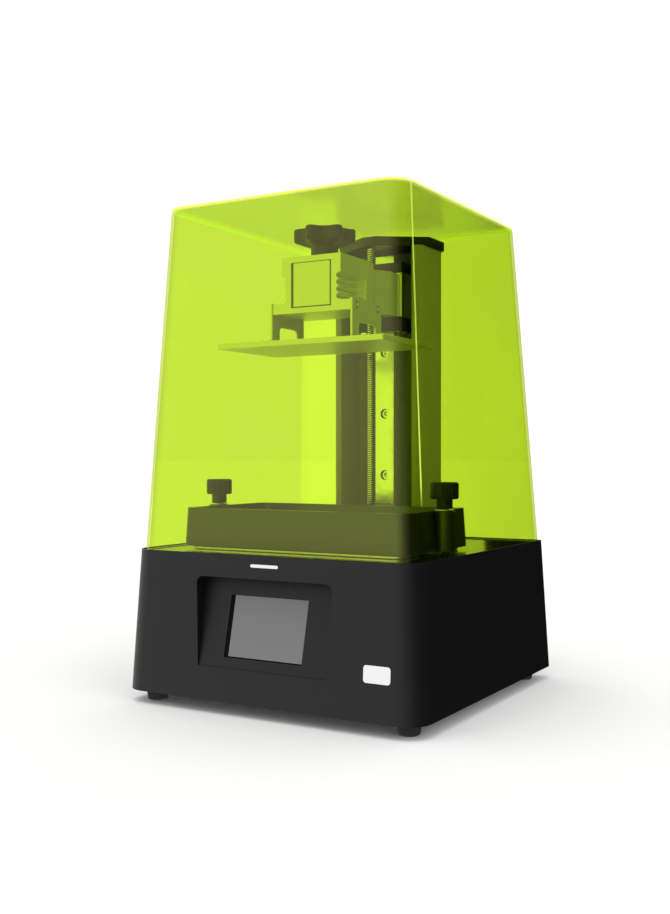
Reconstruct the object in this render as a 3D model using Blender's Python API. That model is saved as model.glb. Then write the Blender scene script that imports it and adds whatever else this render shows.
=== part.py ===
"""Desktop resin printer, built as an assembly of separate parts.

Metres, +Z up. The origin is the centre of the footprint, on the surface that the feet stand on.
The front, with the touch screen, faces -Y. Every part is one object; the moving ones have their
origin on their joint's axis. The heights in this file are measured from a datum plane that cuts
through the feet, DATUM above the surface.
"""

import math

import bmesh
import bpy
from mathutils import Matrix, Vector

# ---- Driving dimensions -------------------------------------------------------------------------
GAP = 0.0003  # clearance between pieces that touch
DATUM = 0.0019
HEIGHT = 0.430  # top of the cover above the datum
FRONT_CORNER, REAR_CORNER = 0.021, 0.008  # radii of the upright corners of the base and the cover

SHELL_BOTTOM, SHELL_TOP = 0.0091, 0.1313
SHELL_HALF_BOTTOM, SHELL_HALF_TOP = 0.145, 0.13896
SHELL_WALL = 0.0025
DECK_TOP, DECK_THICKNESS = 0.130, 0.003
LEDGE_WIDTH, LEDGE_DEPTH = 0.004, 0.003  # the rim inside the base that the deck lies on
COVER_HALF_BOTTOM, COVER_HALF_TOP, COVER_WALL = 0.1366, 0.1185, 0.0025
COVER_FORWARD = 0.004  # the cover's top stands this far forward, so its front leans less than its rear

PLATE_BOTTOM, PLATE_TOP = 0.0095, 0.0110
FOOT_RADIUS_LOW, FOOT_RADIUS_HIGH = 0.0090, 0.0103
FOOT_OFFSET_X, FOOT_OFFSET_Y = 0.1242, 0.1214

SCREEN_RECESS_TOP, SCREEN_RECESS_BOTTOM = 0.112, 0.0375
SCREEN_RECESS_HALF_TOP, SCREEN_RECESS_HALF_BOTTOM = 0.0664, 0.0628
SCREEN_FLUSH_Z, SCREEN_LEAN = 0.0314, 0.2274  # the floor meets the front here and leans back at this slope
SCREEN_WIDTH, SCREEN_LOW, SCREEN_HIGH = 0.0757, 0.0462, 0.0964

BUILD_Y = -0.041  # centre of the vat, the screen below it and the platform above it
LCD_SIZE, LCD_TOP = (0.156, 0.092), 0.1323

COLUMN_HALF, COLUMN_FRONT, COLUMN_REAR, COLUMN_TOP = 0.048, 0.053, 0.104, 0.4125
COLUMN_INSIDE_HALF, COLUMN_INSIDE_BACK = 0.038, 0.0898
CAP_HALF, CAP_FRONT, CAP_REAR, CAP_TOP = 0.050, 0.040, 0.107, 0.4218
RAIL_HALF, RAIL_FRONT, RAIL_BOTTOM, RAIL_TOP = 0.010, 0.072, 0.142, 0.408
RAIL_HOLE_FIRST, RAIL_HOLE_PITCH, RAIL_HOLES = 0.194, 0.060, 4

SCREW_Y, SCREW_RADIUS, SCREW_BOTTOM, SCREW_TOP = 0.045, 0.004, 0.1335, 0.4115
CARRIAGE_HALF, CARRIAGE_FRONT, CARRIAGE_REAR = 0.025, 0.0598, 0.0860
CARRIAGE_CAPS = (0.333, 0.346, 0.389, 0.399)  # lower cap, steel block and upper cap, upwards
NUT_FLANGE, NUT_RADIUS, FLAG_X = 0.011, 0.0051, -0.0301

ARM_BOTTOM, ARM_TOP = 0.346, 0.387
TONGUE_HALF, TONGUE_BOTTOM, TONGUE_TOP = 0.0187, 0.3437, 0.382
SLEEVE_HALF, SLEEVE_BOTTOM = 0.0205, 0.3427  # the clamp's bore around the tongue
CLAMP_FRONT, CLAMP_REAR, CLAMP_HALF = -0.065, -0.012, 0.030
CLAMP_BOTTOM, CLAMP_TOP = 0.338, 0.3873
FLANGE_HALF, FLANGE_TOP = 0.0396, 0.347
KNOB_Y, KNOB_TOP, KNOB_RIM, KNOB_HUB = -0.0415, 0.4140, 0.0125, 0.0122
KNOB_LOBES, LOBE_REACH, LOBE_RADIUS, NOTCH_BOTTOM = 6, 0.0224, 0.0049, 0.0198
KNOB_TURN = -30.8  # degrees; one of the knob's lobes points this way
STUD_RADIUS, PAD_RADIUS, PAD_TOP = 0.004, 0.006, 0.3834
PAD_TRAVEL = 0.002  # how far the clamp screw backs off

PLATFORM_SIZE, PLATFORM_BOTTOM, PLATFORM_THICKNESS = (0.168, 0.094), 0.3076, 0.005
BRACKET_SHEET, BRACKET_FRONT, BRACKET_REAR, BRACKET_TOP = 0.002, -0.0655, -0.013, 0.348
BRACKET_FOOT = 0.016
LEVELLING_Y, LEVELLING_IN = (-0.059, -0.0185), 0.0075
ARCH_FRONT, ARCH_REAR, ARCH_TOP, ARCH_CORNER = -0.0535, -0.024, 0.328, 0.004

VAT_HALF_TOP, VAT_HALF_BOTTOM = (0.110, 0.061), (0.112, 0.062)
VAT_WELL_TOP, VAT_WELL_BOTTOM = (0.104, 0.0555), (0.088, 0.051)
VAT_BOTTOM, VAT_TOP, VAT_CORNER, WELL_CORNER = 0.1331, 0.1668, 0.008, 0.006
FILM_FRAME_HALF, FILM_THICKNESS = (0.106, 0.0575), 0.0002
THUMB_X, THUMB_HEAD_BOTTOM, THUMB_HEAD_TOP, THUMB_RADIUS = 0.1168, 0.1768, 0.1909, 0.0120
THUMB_GRIPS = 10

REFLECTOR_LOW_HALF, REFLECTOR_HIGH_HALF, REFLECTOR_WALL = (0.050, 0.036), (0.076, 0.046), 0.0015
LAMP_BOARD_BOTTOM, LAMP_BOARD_TOP = 0.0303, 0.0319
SINK_HALF, SINK_BOTTOM, FINS_BOTTOM = (0.048, 0.034), 0.0260, 0.0118
BOARD_TOP = 0.0206
MOTOR_HALF, MOTOR_BOTTOM, MOTOR_TOP = 0.02115, 0.075, 0.115
SHAFT_RADIUS, COUPLER_RADIUS, COUPLER_BOTTOM, COUPLER_TOP = 0.0025, 0.0095, 0.120, 0.145

FAN_X, FAN_Z, FAN_SIZE, FAN_FRONT, FAN_DEPTH = -0.070, 0.070, 0.060, 0.1215, 0.015
FAN_BORE, FAN_HUB, FAN_BLADES, FAN_SLOTS = 0.0285, 0.0125, 7, 9
SOCKET_Z = 0.072  # height of the rear sockets and the power switch
SWITCH_X, INLET_X, USB_X = 0.095, 0.066, 0.038
SWITCH_HALF, INLET_RADIUS, USB_HALF = (0.0060, 0.0094), 0.0054, (0.0068, 0.0030)
ROCKER_TILT = math.radians(8)
REAR_WALL = (0.130, 0.150)  # along Y, a stretch that holds the rear wall of the base

# ---- Scene and materials ------------------------------------------------------------------------
for old in list(bpy.data.objects):
    bpy.data.objects.remove(old)


def material(name, colour, roughness, metallic=0.0, alpha=1.0):
    made = bpy.data.materials.new(name)
    made.use_nodes = True
    shader = made.node_tree.nodes["Principled BSDF"]
    shader.inputs["Base Color"].default_value = (*colour, 1.0)
    shader.inputs["Roughness"].default_value = roughness
    shader.inputs["Metallic"].default_value = metallic
    shader.inputs["Alpha"].default_value = alpha
    return made


PAINTED_STEEL = material("dark painted steel", (0.030, 0.030, 0.032), 0.45)
BLACK_PLASTIC = material("black plastic", (0.012, 0.012, 0.013), 0.40)
COVER_PLASTIC = material("lime transparent plastic", (0.55, 0.90, 0.03), 0.06, alpha=0.45)
SCREEN_GLASS = material("grey screen glass", (0.16, 0.16, 0.16), 0.15)
ALUMINIUM = material("sandblasted aluminium", (0.72, 0.73, 0.74), 0.38, 1.0)
DARK_ALUMINIUM = material("dark anodised aluminium", (0.035, 0.035, 0.038), 0.42, 0.6)
STEEL = material("bright steel", (0.78, 0.78, 0.78), 0.22, 1.0)
BRASS = material("brass", (0.72, 0.52, 0.20), 0.30, 1.0)
RUBBER = material("black rubber", (0.015, 0.015, 0.015), 0.85)
BOARD_GREEN = material("circuit board", (0.02, 0.12, 0.05), 0.50)
CLEAR_FILM = material("clear film", (0.80, 0.85, 0.88), 0.10, alpha=0.35)
WHITE_PLASTIC = material("white plastic", (0.75, 0.75, 0.75), 0.40)


# ---- Modelling tools ----------------------------------------------------------------------------
def finish_mesh(name, mesh_data, finish, origin=(0, 0, 0)):
    """An object from a bmesh in world coordinates, with its origin at the given point."""
    bmesh.ops.recalc_face_normals(mesh_data, faces=mesh_data.faces)
    bmesh.ops.translate(mesh_data, verts=mesh_data.verts, vec=-Vector(origin))
    mesh = bpy.data.meshes.new(name)
    mesh_data.to_mesh(mesh)
    mesh_data.free()
    mesh.shade_smooth()
    mesh.set_sharp_from_angle(angle=math.radians(35))
    mesh.materials.append(finish)
    made = bpy.data.objects.new(name, mesh)
    made.location = Vector(origin) + Vector((0, 0, DATUM))
    bpy.context.scene.collection.objects.link(made)
    return made


def arc(centre, radius, start, end, steps):
    """Points on an arc in a plane, angles in degrees, both ends included."""
    angles = [math.radians(start + (end - start) * i / steps) for i in range(steps + 1)]
    return [(centre[0] + radius * math.cos(a), centre[1] + radius * math.sin(a)) for a in angles]


def rounded_outline(half_x, half_y, radii, steps=5, centre=(0, 0)):
    """A rectangle with rounded corners; radii are (front, rear) or one number for all four."""
    front, rear = radii if isinstance(radii, tuple) else (radii, radii)
    points = []
    for sign_x, sign_y, radius, start in (
        (1, 1, rear, 0), (-1, 1, rear, 90), (-1, -1, front, 180), (1, -1, front, 270),
    ):
        corner = (centre[0] + sign_x * (half_x - radius), centre[1] + sign_y * (half_y - radius))
        points += arc(corner, radius, start, start + 90, steps)
    return points


def at_height(outline, z):
    return [Vector((x, y, z)) for x, y in outline]


def body_from_rings(rings, closed=False):
    """A bmesh through rings of equally many points. It is capped at both ends, or closed on itself."""
    made = bmesh.new()
    loops = [[made.verts.new(point) for point in ring] for ring in rings]
    pairs = list(zip(loops, loops[1:]))
    if closed:
        pairs.append((loops[-1], loops[0]))
    else:
        made.faces.new(loops[0])
        made.faces.new(loops[-1])
    for low, high in pairs:
        for i in range(len(low)):
            j = (i + 1) % len(low)
            made.faces.new((low[i], low[j], high[j], high[i]))
    return made


def prism(outline, low, high, axis="Z"):
    """An outline extruded from low to high. Along Y the outline is (x, z), and along X it is (y, z)."""
    if axis == "Z":
        return body_from_rings([at_height(outline, low), at_height(outline, high)])
    if axis == "Y":
        return body_from_rings([[Vector((a, level, b)) for a, b in outline] for level in (low, high)])
    return body_from_rings([[Vector((level, a, b)) for a, b in outline] for level in (low, high)])


def box(x, y, z):
    """A block between (low, high) pairs."""
    return prism([(x[0], y[0]), (x[1], y[0]), (x[1], y[1]), (x[0], y[1])], *z)


def centred_box(x, half_x, y, z, half_z):
    """A block between a (low, high) pair of Y, centred on x and z."""
    return box((x - half_x, x + half_x), y, (z - half_z, z + half_z))


def turned(profile, sides=24, axis="Z", centre=(0, 0, 0)):
    """A solid of revolution from (radius, height) pairs; it starts and ends at the profile's end caps."""
    rings = []
    for radius, height in profile:
        ring = arc((0, 0), radius, 0, 360 * (sides - 1) / sides, sides - 1)
        rings.append([Vector((x, y, height)) for x, y in ring])
    made = body_from_rings(rings)
    if axis == "Y":
        bmesh.ops.rotate(made, verts=made.verts, matrix=Matrix.Rotation(-math.pi / 2, 3, "X"))
    bmesh.ops.translate(made, verts=made.verts, vec=centre)
    return made


def ring_solid(outer, inner, low, high, sides=24, centre=(0, 0)):
    """A turned ring with a plain bore."""
    corners = ((outer, low), (outer, high), (inner, high), (inner, low))
    last = 360 * (sides - 1) / sides
    rings = [at_height(arc(centre, radius, 0, last, sides - 1), z) for radius, z in corners]
    return body_from_rings(rings, closed=True)


def combine(target, operation, *pieces):
    """Adds one Boolean modifier for each piece, a bmesh in world coordinates."""
    for number, piece in enumerate(pieces):
        tool = finish_mesh(f"tool.{target.name}.{operation}.{number}", piece, RUBBER)
        tool.hide_render = True
        tool.display_type = "WIRE"
        modifier = target.modifiers.new(f"{operation} {number}", "BOOLEAN")
        modifier.operation = operation
        modifier.object = tool
    return target


def cut(target, *pieces):
    return combine(target, "DIFFERENCE", *pieces)


def join(target, *pieces):
    return combine(target, "UNION", *pieces)


def part(name, body, finish, origin=(0, 0, 0), parent=None):
    """One named part, hung on its parent with its place in the world kept."""
    made = finish_mesh(name, body, finish, origin)
    if parent:
        made.parent = parent
        made.matrix_parent_inverse = Matrix.Translation(parent.location).inverted()
    return made


def shell_front(z):
    """How far the outside of the base stands from the middle at a height."""
    share = (z - SHELL_BOTTOM) / (SHELL_TOP - SHELL_BOTTOM)
    return SHELL_HALF_BOTTOM + (SHELL_HALF_TOP - SHELL_HALF_BOTTOM) * share


def screen_floor(z):
    """The Y of the leaning floor of the screen recess at a height."""
    flush = -shell_front(SCREEN_FLUSH_Z)
    return flush + SCREEN_LEAN * (z - SCREEN_FLUSH_Z)


# ---- Base ---------------------------------------------------------------------------------------
def square_ring(half, z, inset=0.0):
    radii = (max(FRONT_CORNER - inset, 0.002), max(REAR_CORNER - inset, 0.002))
    return at_height(rounded_outline(half, half, radii), z)


def recess_outline(grow=0.0):
    """Front view (x, z) of the screen recess: narrower at the bottom, rounded corners."""
    top, bottom, radius = SCREEN_RECESS_TOP + grow, SCREEN_RECESS_BOTTOM - grow, 0.006
    half_top, half_bottom = SCREEN_RECESS_HALF_TOP + grow, SCREEN_RECESS_HALF_BOTTOM + grow
    return (
        arc((half_top - radius, top - radius), radius, 0, 90, 4)
        + arc((-half_top + radius, top - radius), radius, 90, 180, 4)
        + [(-half_bottom, bottom), (half_bottom, bottom)]
    )


def leaning_body(outline, front, back):
    """An (x, z) outline swept back from front(z) to back(z)."""
    return body_from_rings([[Vector((x, side(z), z)) for x, z in outline] for side in (front, back)])


def build_base_shell():
    ledge_top = DECK_TOP - DECK_THICKNESS - GAP
    inside_top = COVER_HALF_BOTTOM + GAP
    rings = [
        square_ring(SHELL_HALF_BOTTOM, SHELL_BOTTOM),
        square_ring(SHELL_HALF_TOP, SHELL_TOP),
        square_ring(inside_top, SHELL_TOP, SHELL_WALL),
        square_ring(inside_top, ledge_top, SHELL_WALL),
        square_ring(inside_top - LEDGE_WIDTH, ledge_top, 0.005),
        square_ring(inside_top - LEDGE_WIDTH, ledge_top - LEDGE_DEPTH, 0.005),
        square_ring(inside_top, ledge_top - LEDGE_DEPTH - LEDGE_WIDTH, SHELL_WALL),
        square_ring(SHELL_HALF_BOTTOM - SHELL_WALL, SHELL_BOTTOM, SHELL_WALL),
    ]
    shell = part("base_shell", body_from_rings(rings, closed=True), PAINTED_STEEL)
    join(shell, leaning_body(
        recess_outline(SHELL_WALL), lambda z: SHELL_WALL / 2 - shell_front(z),
        lambda z: screen_floor(z) + SHELL_WALL))
    half_window = SCREEN_WIDTH / 2 + GAP
    window = [(half_window, SCREEN_LOW - GAP), (half_window, SCREEN_HIGH + GAP),
              (-half_window, SCREEN_HIGH + GAP), (-half_window, SCREEN_LOW - GAP)]
    cut(
        shell,
        leaning_body(recess_outline(), lambda z: -0.160, screen_floor),
        leaning_body(window, lambda z: screen_floor(z) - 0.010, lambda z: screen_floor(z) + 0.010),
    )
    pitch, half_width, reach = 0.006, 0.0017, FAN_BORE - 0.0015
    for number in range(FAN_SLOTS):
        across = (number - (FAN_SLOTS - 1) / 2) * pitch
        cut(shell, centred_box(FAN_X + across, half_width, REAR_WALL, FAN_Z, math.sqrt(reach**2 - across**2)))
    cut(
        shell,
        centred_box(SWITCH_X, SWITCH_HALF[0] + GAP, REAR_WALL, SOCKET_Z, SWITCH_HALF[1] + GAP + 0.0001),
        turned([(INLET_RADIUS + 0.0004, y) for y in REAR_WALL], axis="Y", centre=(INLET_X, 0, SOCKET_Z)),
        centred_box(USB_X, USB_HALF[0] + 0.0005, REAR_WALL, SOCKET_Z, USB_HALF[1] + 0.0005),
    )
    return shell


def build_touch_screen(shell):
    for name, margin, height, front, back, finish in (
        ("touch_screen", 0, 0, 0.0005, 0.0024, SCREEN_GLASS),
        ("screen_module", 0.006, 0.003, 0.0028, 0.0068, BOARD_GREEN),
    ):
        half, low, high = SCREEN_WIDTH / 2 + margin, SCREEN_LOW - height, SCREEN_HIGH + height
        outline = [(half, low), (half, high), (-half, high), (-half, low)]
        body = leaning_body(outline, lambda z: screen_floor(z) + front, lambda z: screen_floor(z) + back)
        part(name, body, finish, parent=shell)


def build_feet_and_bottom(shell):
    half = SHELL_HALF_BOTTOM - SHELL_WALL - 0.0005
    rings = [square_ring(half, z, 0.003) for z in (PLATE_BOTTOM, PLATE_TOP)]
    plate = part("bottom_plate", body_from_rings(rings), PAINTED_STEEL, parent=shell)
    for x in (-0.03, -0.015, 0, 0.015, 0.03):
        cut(plate, box((x - 0.002, x + 0.002), (-0.075, -0.015), (PLATE_BOTTOM - 0.004, PLATE_TOP + 0.004)))
    foot = [(FOOT_RADIUS_LOW - 0.0012, -DATUM), (FOOT_RADIUS_LOW, 0.0010 - DATUM),
            (FOOT_RADIUS_HIGH, PLATE_BOTTOM - GAP)]
    for side_x, name_x in ((-1, "left"), (1, "right")):
        for side_y, name_y in ((-1, "front"), (1, "rear")):
            centre = (side_x * FOOT_OFFSET_X, side_y * FOOT_OFFSET_Y, 0)
            part(f"foot_{name_y}_{name_x}", turned(foot, 20, centre=centre), RUBBER, parent=shell)


def build_deck(shell):
    outline = rounded_outline(
        COVER_HALF_BOTTOM, COVER_HALF_BOTTOM, (FRONT_CORNER - 0.003, REAR_CORNER - 0.003))
    body = prism(outline, DECK_TOP - DECK_THICKNESS, DECK_TOP)
    deck = part("base_deck", body, DARK_ALUMINIUM, parent=shell)
    half_x, half_y = LCD_SIZE[0] / 2 + GAP, LCD_SIZE[1] / 2 + GAP
    through = (DECK_TOP - 0.010, DECK_TOP + 0.010)
    cut(deck, box((-half_x, half_x), (BUILD_Y - half_y, BUILD_Y + half_y), through))
    for radius, sides, x, y in ((0.012, 24, 0, SCREW_Y), (0.0033, 12, THUMB_X, BUILD_Y),
                                (0.0033, 12, -THUMB_X, BUILD_Y)):
        cut(deck, turned([(radius, z) for z in through], sides, centre=(x, y, 0)))


# ---- Light engine -------------------------------------------------------------------------------
def rectangle_ring(half_x, half_y, z):
    corners = ((half_x, half_y), (-half_x, half_y), (-half_x, -half_y), (half_x, -half_y))
    return [Vector((x, BUILD_Y + y, z)) for x, y in corners]


def build_light_engine(shell):
    bracket_top = DECK_TOP - DECK_THICKNESS - GAP
    lcd_half = (LCD_SIZE[0] / 2, LCD_SIZE[1] / 2)
    panel = [rectangle_ring(*lcd_half, bracket_top + GAP), rectangle_ring(*lcd_half, LCD_TOP)]
    part("lcd_panel", body_from_rings(panel), SCREEN_GLASS, parent=shell)
    bracket = [
        rectangle_ring(0.092, 0.060, bracket_top - 0.003), rectangle_ring(0.092, 0.060, bracket_top),
        rectangle_ring(0.070, 0.040, bracket_top), rectangle_ring(0.070, 0.040, bracket_top - 0.003),
    ]
    part("lcd_bracket", body_from_rings(bracket, closed=True), STEEL, parent=shell)
    low, high = LAMP_BOARD_TOP + GAP, bracket_top - 0.003 - GAP
    low_x, low_y, high_x, high_y = *REFLECTOR_LOW_HALF, *REFLECTOR_HIGH_HALF
    reflector = [
        rectangle_ring(low_x, low_y, low), rectangle_ring(high_x, high_y, high),
        rectangle_ring(high_x - REFLECTOR_WALL, high_y - REFLECTOR_WALL, high),
        rectangle_ring(low_x - REFLECTOR_WALL, low_y - REFLECTOR_WALL, low),
    ]
    part("lamp_reflector", body_from_rings(reflector, closed=True), ALUMINIUM, parent=shell)
    rings = [rectangle_ring(low_x, low_y, z) for z in (LAMP_BOARD_BOTTOM, LAMP_BOARD_TOP)]
    board = part("uv_led_board", body_from_rings(rings), WHITE_PLASTIC, parent=shell)
    lamp = [(radius, LAMP_BOARD_TOP + rise) for radius, rise in (
        (0.0035, -0.0007), (0.0035, 0.0011), (0.0020, 0.0026))]
    for x in (-0.030, -0.010, 0.010, 0.030):
        for y in (-0.018, 0.018):
            join(board, turned(lamp, 10, centre=(x, BUILD_Y + y, 0)))
    rings = [rectangle_ring(*SINK_HALF, z) for z in (SINK_BOTTOM, LAMP_BOARD_BOTTOM - GAP)]
    sink = part("led_heat_sink", body_from_rings(rings), ALUMINIUM, parent=shell)
    for x in (-0.045, -0.030, -0.015, 0, 0.015, 0.030, 0.045):
        along = (BUILD_Y - SINK_HALF[1], BUILD_Y + SINK_HALF[1])
        join(sink, box((x - 0.001, x + 0.001), along, (FINS_BOTTOM, SINK_BOTTOM + 0.001)))


# ---- Electrics ----------------------------------------------------------------------------------
def build_mainboard(shell):
    board = part("mainboard", box((0.020, 0.125), (0.045, 0.115), (BOARD_TOP - 0.0016, BOARD_TOP)),
                 BOARD_GREEN, parent=shell)
    for x in (0.025, 0.120):
        for y in (0.050, 0.110):
            join(board, turned([(0.003, PLATE_TOP + GAP), (0.003, BOARD_TOP - 0.0006)], 8, centre=(x, y, 0)))
    for x, y, height in (
        ((0.035, 0.050), (0.060, 0.075), 0.0019), ((0.060, 0.072), (0.055, 0.067), 0.0024),
        ((0.085, 0.115), (0.095, 0.103), 0.0094), ((0.035, 0.065), (0.095, 0.103), 0.0094),
    ):
        join(board, box(x, y, (BOARD_TOP - 0.0006, BOARD_TOP + height)))


def build_rear_sockets(shell):
    face = shell_front(SOCKET_Z - 0.0115)
    half_x, half_z = SWITCH_HALF
    switch = part("power_switch", centred_box(
        SWITCH_X, half_x + 0.0015, (face + GAP, face + 0.0015), SOCKET_Z, half_z + 0.0016),
        BLACK_PLASTIC, parent=shell)
    join(switch, centred_box(SWITCH_X, half_x, (face - 0.020, face + 0.0010), SOCKET_Z, half_z))
    cut(switch, centred_box(
        SWITCH_X, half_x - 0.0012, (face - 0.0075, face + 0.010), SOCKET_Z, half_z - 0.0010))
    pivot = (SWITCH_X, face - 0.0030, SOCKET_Z)
    rocker = [(-0.0022, -0.0078), (0.0042, -0.0078), (0.0030, 0), (0.0042, 0.0078), (-0.0022, 0.0078)]
    turn = Matrix.Rotation(-ROCKER_TILT, 2)
    outline = [tuple(Vector(pivot[1:]) + turn @ Vector(point)) for point in rocker]
    part("power_rocker", prism(outline, SWITCH_X - 0.0045, SWITCH_X + 0.0045, "X"),
         BLACK_PLASTIC, origin=pivot, parent=shell)

    centre, bore, pin, collar = (INLET_X, 0, SOCKET_Z), 0.0032, 0.0010, INLET_RADIUS + 0.0021
    inlet = part("power_inlet", turned(
        [(INLET_RADIUS, face - 0.014), (INLET_RADIUS, face + 0.0002), (collar, face + GAP),
         (collar, face + 0.0015)], 20, "Y", centre), BLACK_PLASTIC, parent=shell)
    cut(inlet, turned([(bore, face - 0.010), (bore, face + 0.010)], 16, "Y", centre))
    join(inlet, turned([(pin, face - 0.012), (pin, face - 0.001)], 8, "Y", centre))

    half_x, half_z = USB_HALF
    usb = part("usb_port", centred_box(USB_X, half_x, (face - 0.016, face), SOCKET_Z, half_z),
               STEEL, parent=shell)
    cut(usb, centred_box(USB_X, half_x - 0.0006, (face - 0.013, face + 0.010), SOCKET_Z, half_z - 0.0006))
    join(usb, centred_box(USB_X, half_x - 0.0013, (face - 0.014, face - 0.002), SOCKET_Z + 0.0009, 0.0007))


def build_fan(shell):
    half, back, centre = FAN_SIZE / 2, FAN_FRONT + FAN_DEPTH, (FAN_X, 0, FAN_Z)
    outline = rounded_outline(half, half, 0.004, 3, (FAN_X, FAN_Z))
    frame = part("fan_frame", prism(outline, FAN_FRONT, back, "Y"), BLACK_PLASTIC, parent=shell)
    cut(frame, turned([(FAN_BORE, FAN_FRONT - 0.005), (FAN_BORE, back + 0.005)], 32, "Y", centre))
    spoke, reach, thin = (FAN_FRONT, FAN_FRONT + 0.002), FAN_BORE + 0.0005, 0.0015
    join(
        frame,
        centred_box(FAN_X, reach, spoke, FAN_Z, thin),
        centred_box(FAN_X, thin, spoke, FAN_Z, reach),
        turned([(FAN_HUB - 0.0015, y) for y in spoke], 20, "Y", centre),
    )
    hub_front, hub_back = FAN_FRONT + 0.0023, back - 0.001
    rotor = part("fan_rotor", turned([(FAN_HUB, hub_front), (FAN_HUB, hub_back)], 20, "Y", centre),
                 BLACK_PLASTIC, origin=(FAN_X, FAN_FRONT + FAN_DEPTH / 2, FAN_Z), parent=shell)
    depth, skew = hub_back - hub_front - 0.002, 0.35
    for number in range(FAN_BLADES):
        sections = []
        for radius, half_thick in ((FAN_HUB - 0.0025, 0.0007), (FAN_BORE - 0.0013, 0.0006)):
            section = []
            for along, side in ((0, -1), (0, 1), (1, 1), (1, -1)):
                turn = 2 * math.pi * number / FAN_BLADES + skew * (along - 0.5) + side * half_thick / radius
                x, z = FAN_X + radius * math.cos(turn), FAN_Z + radius * math.sin(turn)
                section.append(Vector((x, hub_front + 0.001 + depth * along, z)))
            sections.append(section)
        join(rotor, body_from_rings(sections))


# ---- Z axis -------------------------------------------------------------------------------------
def build_motor(shell):
    axis, plate_low = (0, SCREW_Y, 0), MOTOR_TOP + GAP
    outline = rounded_outline(MOTOR_HALF, MOTOR_HALF, 0.004, 2, (0, SCREW_Y))
    motor = part("z_motor", prism(outline, MOTOR_BOTTOM, MOTOR_TOP), BLACK_PLASTIC, parent=shell)
    join(motor, turned([(0.011, MOTOR_TOP - 0.001), (0.011, MOTOR_TOP + 0.002)], centre=axis))
    cut(motor, turned([(0.0031, MOTOR_TOP - 0.020), (0.0031, MOTOR_TOP + 0.005)], 12, centre=axis))
    outline = rounded_outline(0.030, 0.025, 0.003, 2, (0, SCREW_Y))
    bracket = part("motor_bracket", prism(outline, plate_low, plate_low + 0.003), STEEL, parent=shell)
    for x in (-0.026, 0.026):
        for y in (-0.019, 0.021):
            post = [(0.003, plate_low + 0.0027), (0.003, DECK_TOP - DECK_THICKNESS - GAP)]
            join(bracket, turned(post, 10, centre=(x, SCREW_Y + y, 0)))
    cut(bracket, turned([(0.0114, plate_low - 0.005), (0.0114, plate_low + 0.005)], centre=axis))


def build_lead_screw(shell):
    axis, chamfer, shaft_low = (0, SCREW_Y, 0), 0.0008, MOTOR_TOP - 0.019
    profile = [(SCREW_RADIUS - chamfer, SCREW_BOTTOM), (SCREW_RADIUS, SCREW_BOTTOM + chamfer),
               (SCREW_RADIUS, SCREW_TOP - chamfer), (SCREW_RADIUS - chamfer, SCREW_TOP)]
    screw = part("lead_screw", turned(profile, 20, centre=axis), STEEL,
                 origin=(0, SCREW_Y, SCREW_BOTTOM), parent=shell)
    shaft = [(SHAFT_RADIUS, shaft_low), (SHAFT_RADIUS, SCREW_BOTTOM - 0.001)]
    part("motor_shaft", turned(shaft, 12, centre=axis), STEEL, origin=(0, SCREW_Y, shaft_low), parent=screw)
    body = turned([(COUPLER_RADIUS, COUPLER_BOTTOM), (COUPLER_RADIUS, COUPLER_TOP)], 20, centre=axis)
    coupler = part("shaft_coupler", body, ALUMINIUM, origin=(0, SCREW_Y, COUPLER_BOTTOM), parent=screw)
    seat = SCREW_BOTTOM - 0.0006
    for radius, low, high, sides in ((SHAFT_RADIUS + GAP, COUPLER_BOTTOM - 0.005, seat + 0.005, 12),
                                     (SCREW_RADIUS + GAP, seat, COUPLER_TOP + 0.005, 20)):
        cut(coupler, turned([(radius, low), (radius, high)], sides, centre=axis))


def column_outline():
    """The U section of the column seen from above, open to the front."""
    outside, inside, nose = COLUMN_HALF, COLUMN_INSIDE_HALF, 0.0085
    right = (
        [(inside, COLUMN_INSIDE_BACK - 0.004), (inside, COLUMN_FRONT + 0.001), (inside + 0.001, COLUMN_FRONT)]
        + arc((outside - nose, COLUMN_FRONT + nose), nose, -90, 0, 6)
        + arc((outside - 0.006, COLUMN_REAR - 0.006), 0.006, 0, 90, 4)
    )
    inner_corner = arc((inside - 0.004, COLUMN_INSIDE_BACK - 0.004), 0.004, 90, 0, 3)[:-1]
    right = inner_corner + right
    return right + [(-x, y) for x, y in reversed(right)]


def build_column(shell):
    column = part("column", prism(column_outline(), DECK_TOP + GAP, COLUMN_TOP), DARK_ALUMINIUM, parent=shell)
    nose, shoulder, half, corner = 0.007, 0.0695, CAP_HALF, 0.005
    right = [(nose, CAP_FRONT), (half, shoulder), (half, CAP_REAR - corner), (half - corner, CAP_REAR)]
    outline = right + [(-x, y) for x, y in reversed(right)]
    part("column_cap", prism(outline, COLUMN_TOP + GAP, CAP_TOP), BLACK_PLASTIC, parent=column)


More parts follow.
